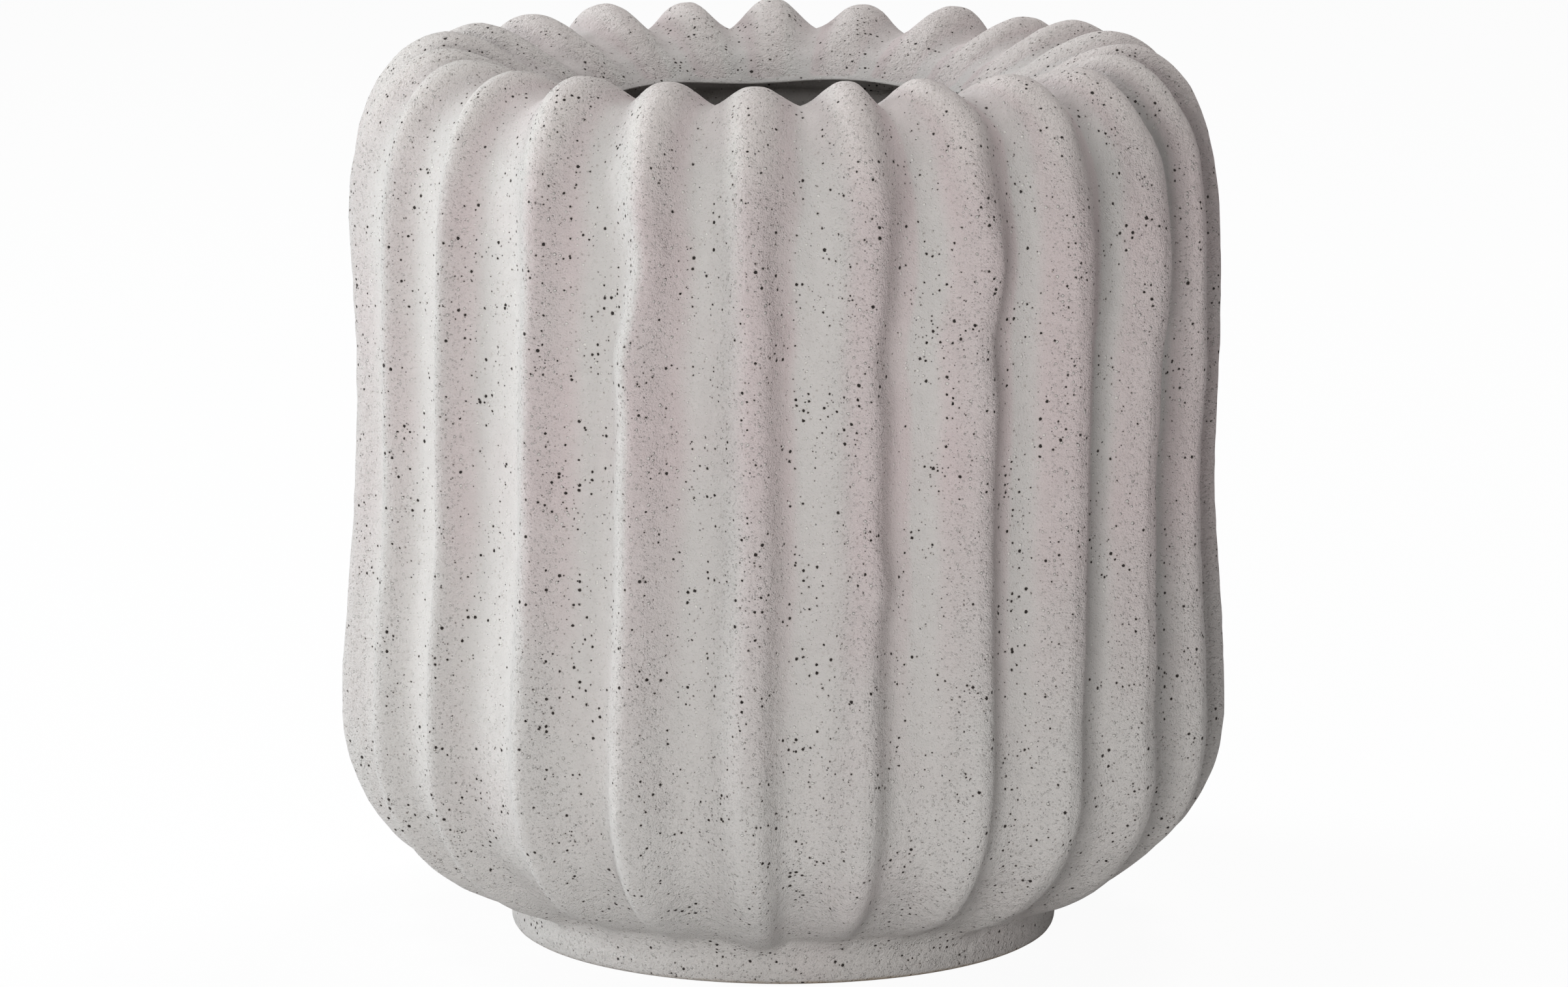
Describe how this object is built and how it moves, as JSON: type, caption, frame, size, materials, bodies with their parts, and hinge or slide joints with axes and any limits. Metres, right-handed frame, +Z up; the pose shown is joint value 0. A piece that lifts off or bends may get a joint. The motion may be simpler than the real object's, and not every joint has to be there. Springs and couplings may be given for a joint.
{
  "type": "flower pot",
  "caption": "Round ribbed stoneware plant pot with full sides, a rolled-in mouth and a low recessed foot, used as an outer pot for a planted inner pot.",
  "frame": {"origin": "centre of the pot at the underside of its foot, on the surface it stands on", "axes": "+Z up along the pot's axis towards the mouth; -Y is the side the picture shows; +X is its right"},
  "size_m": [0.2872, 0.2879, 0.2916],
  "materials": {
    "foot_ring_clay": "matte fired clay, bare and slightly darker where it stands",
    "floor_slab_clay": "matte fired clay",
    "body_wall_clay": "matte fired clay",
    "mouth_collar_clay": "matte fired clay, smoothed at the lip",
    "rib_clay": "matte sandy fired clay with small dark specks"
  },
  "bodies": {
    "root": {"foot_ring": "foot_ring_clay", "floor_slab": "floor_slab_clay", "body_wall": "body_wall_clay", "mouth_collar": "mouth_collar_clay", "rib_01": "rib_clay", "rib_02": "rib_clay", "rib_03": "rib_clay", "rib_04": "rib_clay", "rib_05": "rib_clay", "rib_06": "rib_clay", "rib_07": "rib_clay", "rib_08": "rib_clay", "rib_09": "rib_clay", "rib_10": "rib_clay", "rib_11": "rib_clay", "rib_12": "rib_clay", "rib_13": "rib_clay", "rib_14": "rib_clay", "rib_15": "rib_clay", "rib_16": "rib_clay", "rib_17": "rib_clay", "rib_18": "rib_clay", "rib_19": "rib_clay", "rib_20": "rib_clay", "rib_21": "rib_clay", "rib_22": "rib_clay", "rib_23": "rib_clay"}
  },
  "joints": []
}
